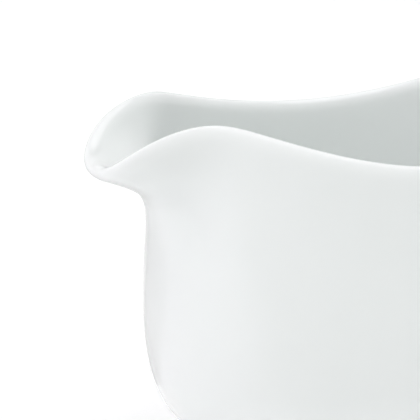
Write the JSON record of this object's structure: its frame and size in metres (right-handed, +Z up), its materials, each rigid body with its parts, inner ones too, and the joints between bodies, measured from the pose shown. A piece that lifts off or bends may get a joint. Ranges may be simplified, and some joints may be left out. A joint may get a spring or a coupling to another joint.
{
  "type": "cream jug",
  "caption": "White glazed porcelain cream jug: a bellied body on a foot ring, a wavy rim with a broad lip to pour from, and a loop handle.",
  "frame": {"origin": "on the standing plane, under the centre of the jug's bounding box; the body's axis is 7.3 mm towards the lip from it", "axes": "+X from the lip towards the handle, +Y across the jug, +Z up out of the mouth"},
  "size_m": [0.122, 0.082, 0.0767],
  "materials": {
    "glazed_porcelain": "glossy clear glaze",
    "foot_porcelain": "unglazed where it stands"
  },
  "bodies": {
    "root": {"body": "glazed_porcelain", "pouring_spout": "glazed_porcelain", "foot_ring": "foot_porcelain", "handle": "glazed_porcelain", "upper_handle_joint": "glazed_porcelain", "lower_handle_joint": "glazed_porcelain"}
  },
  "joints": []
}
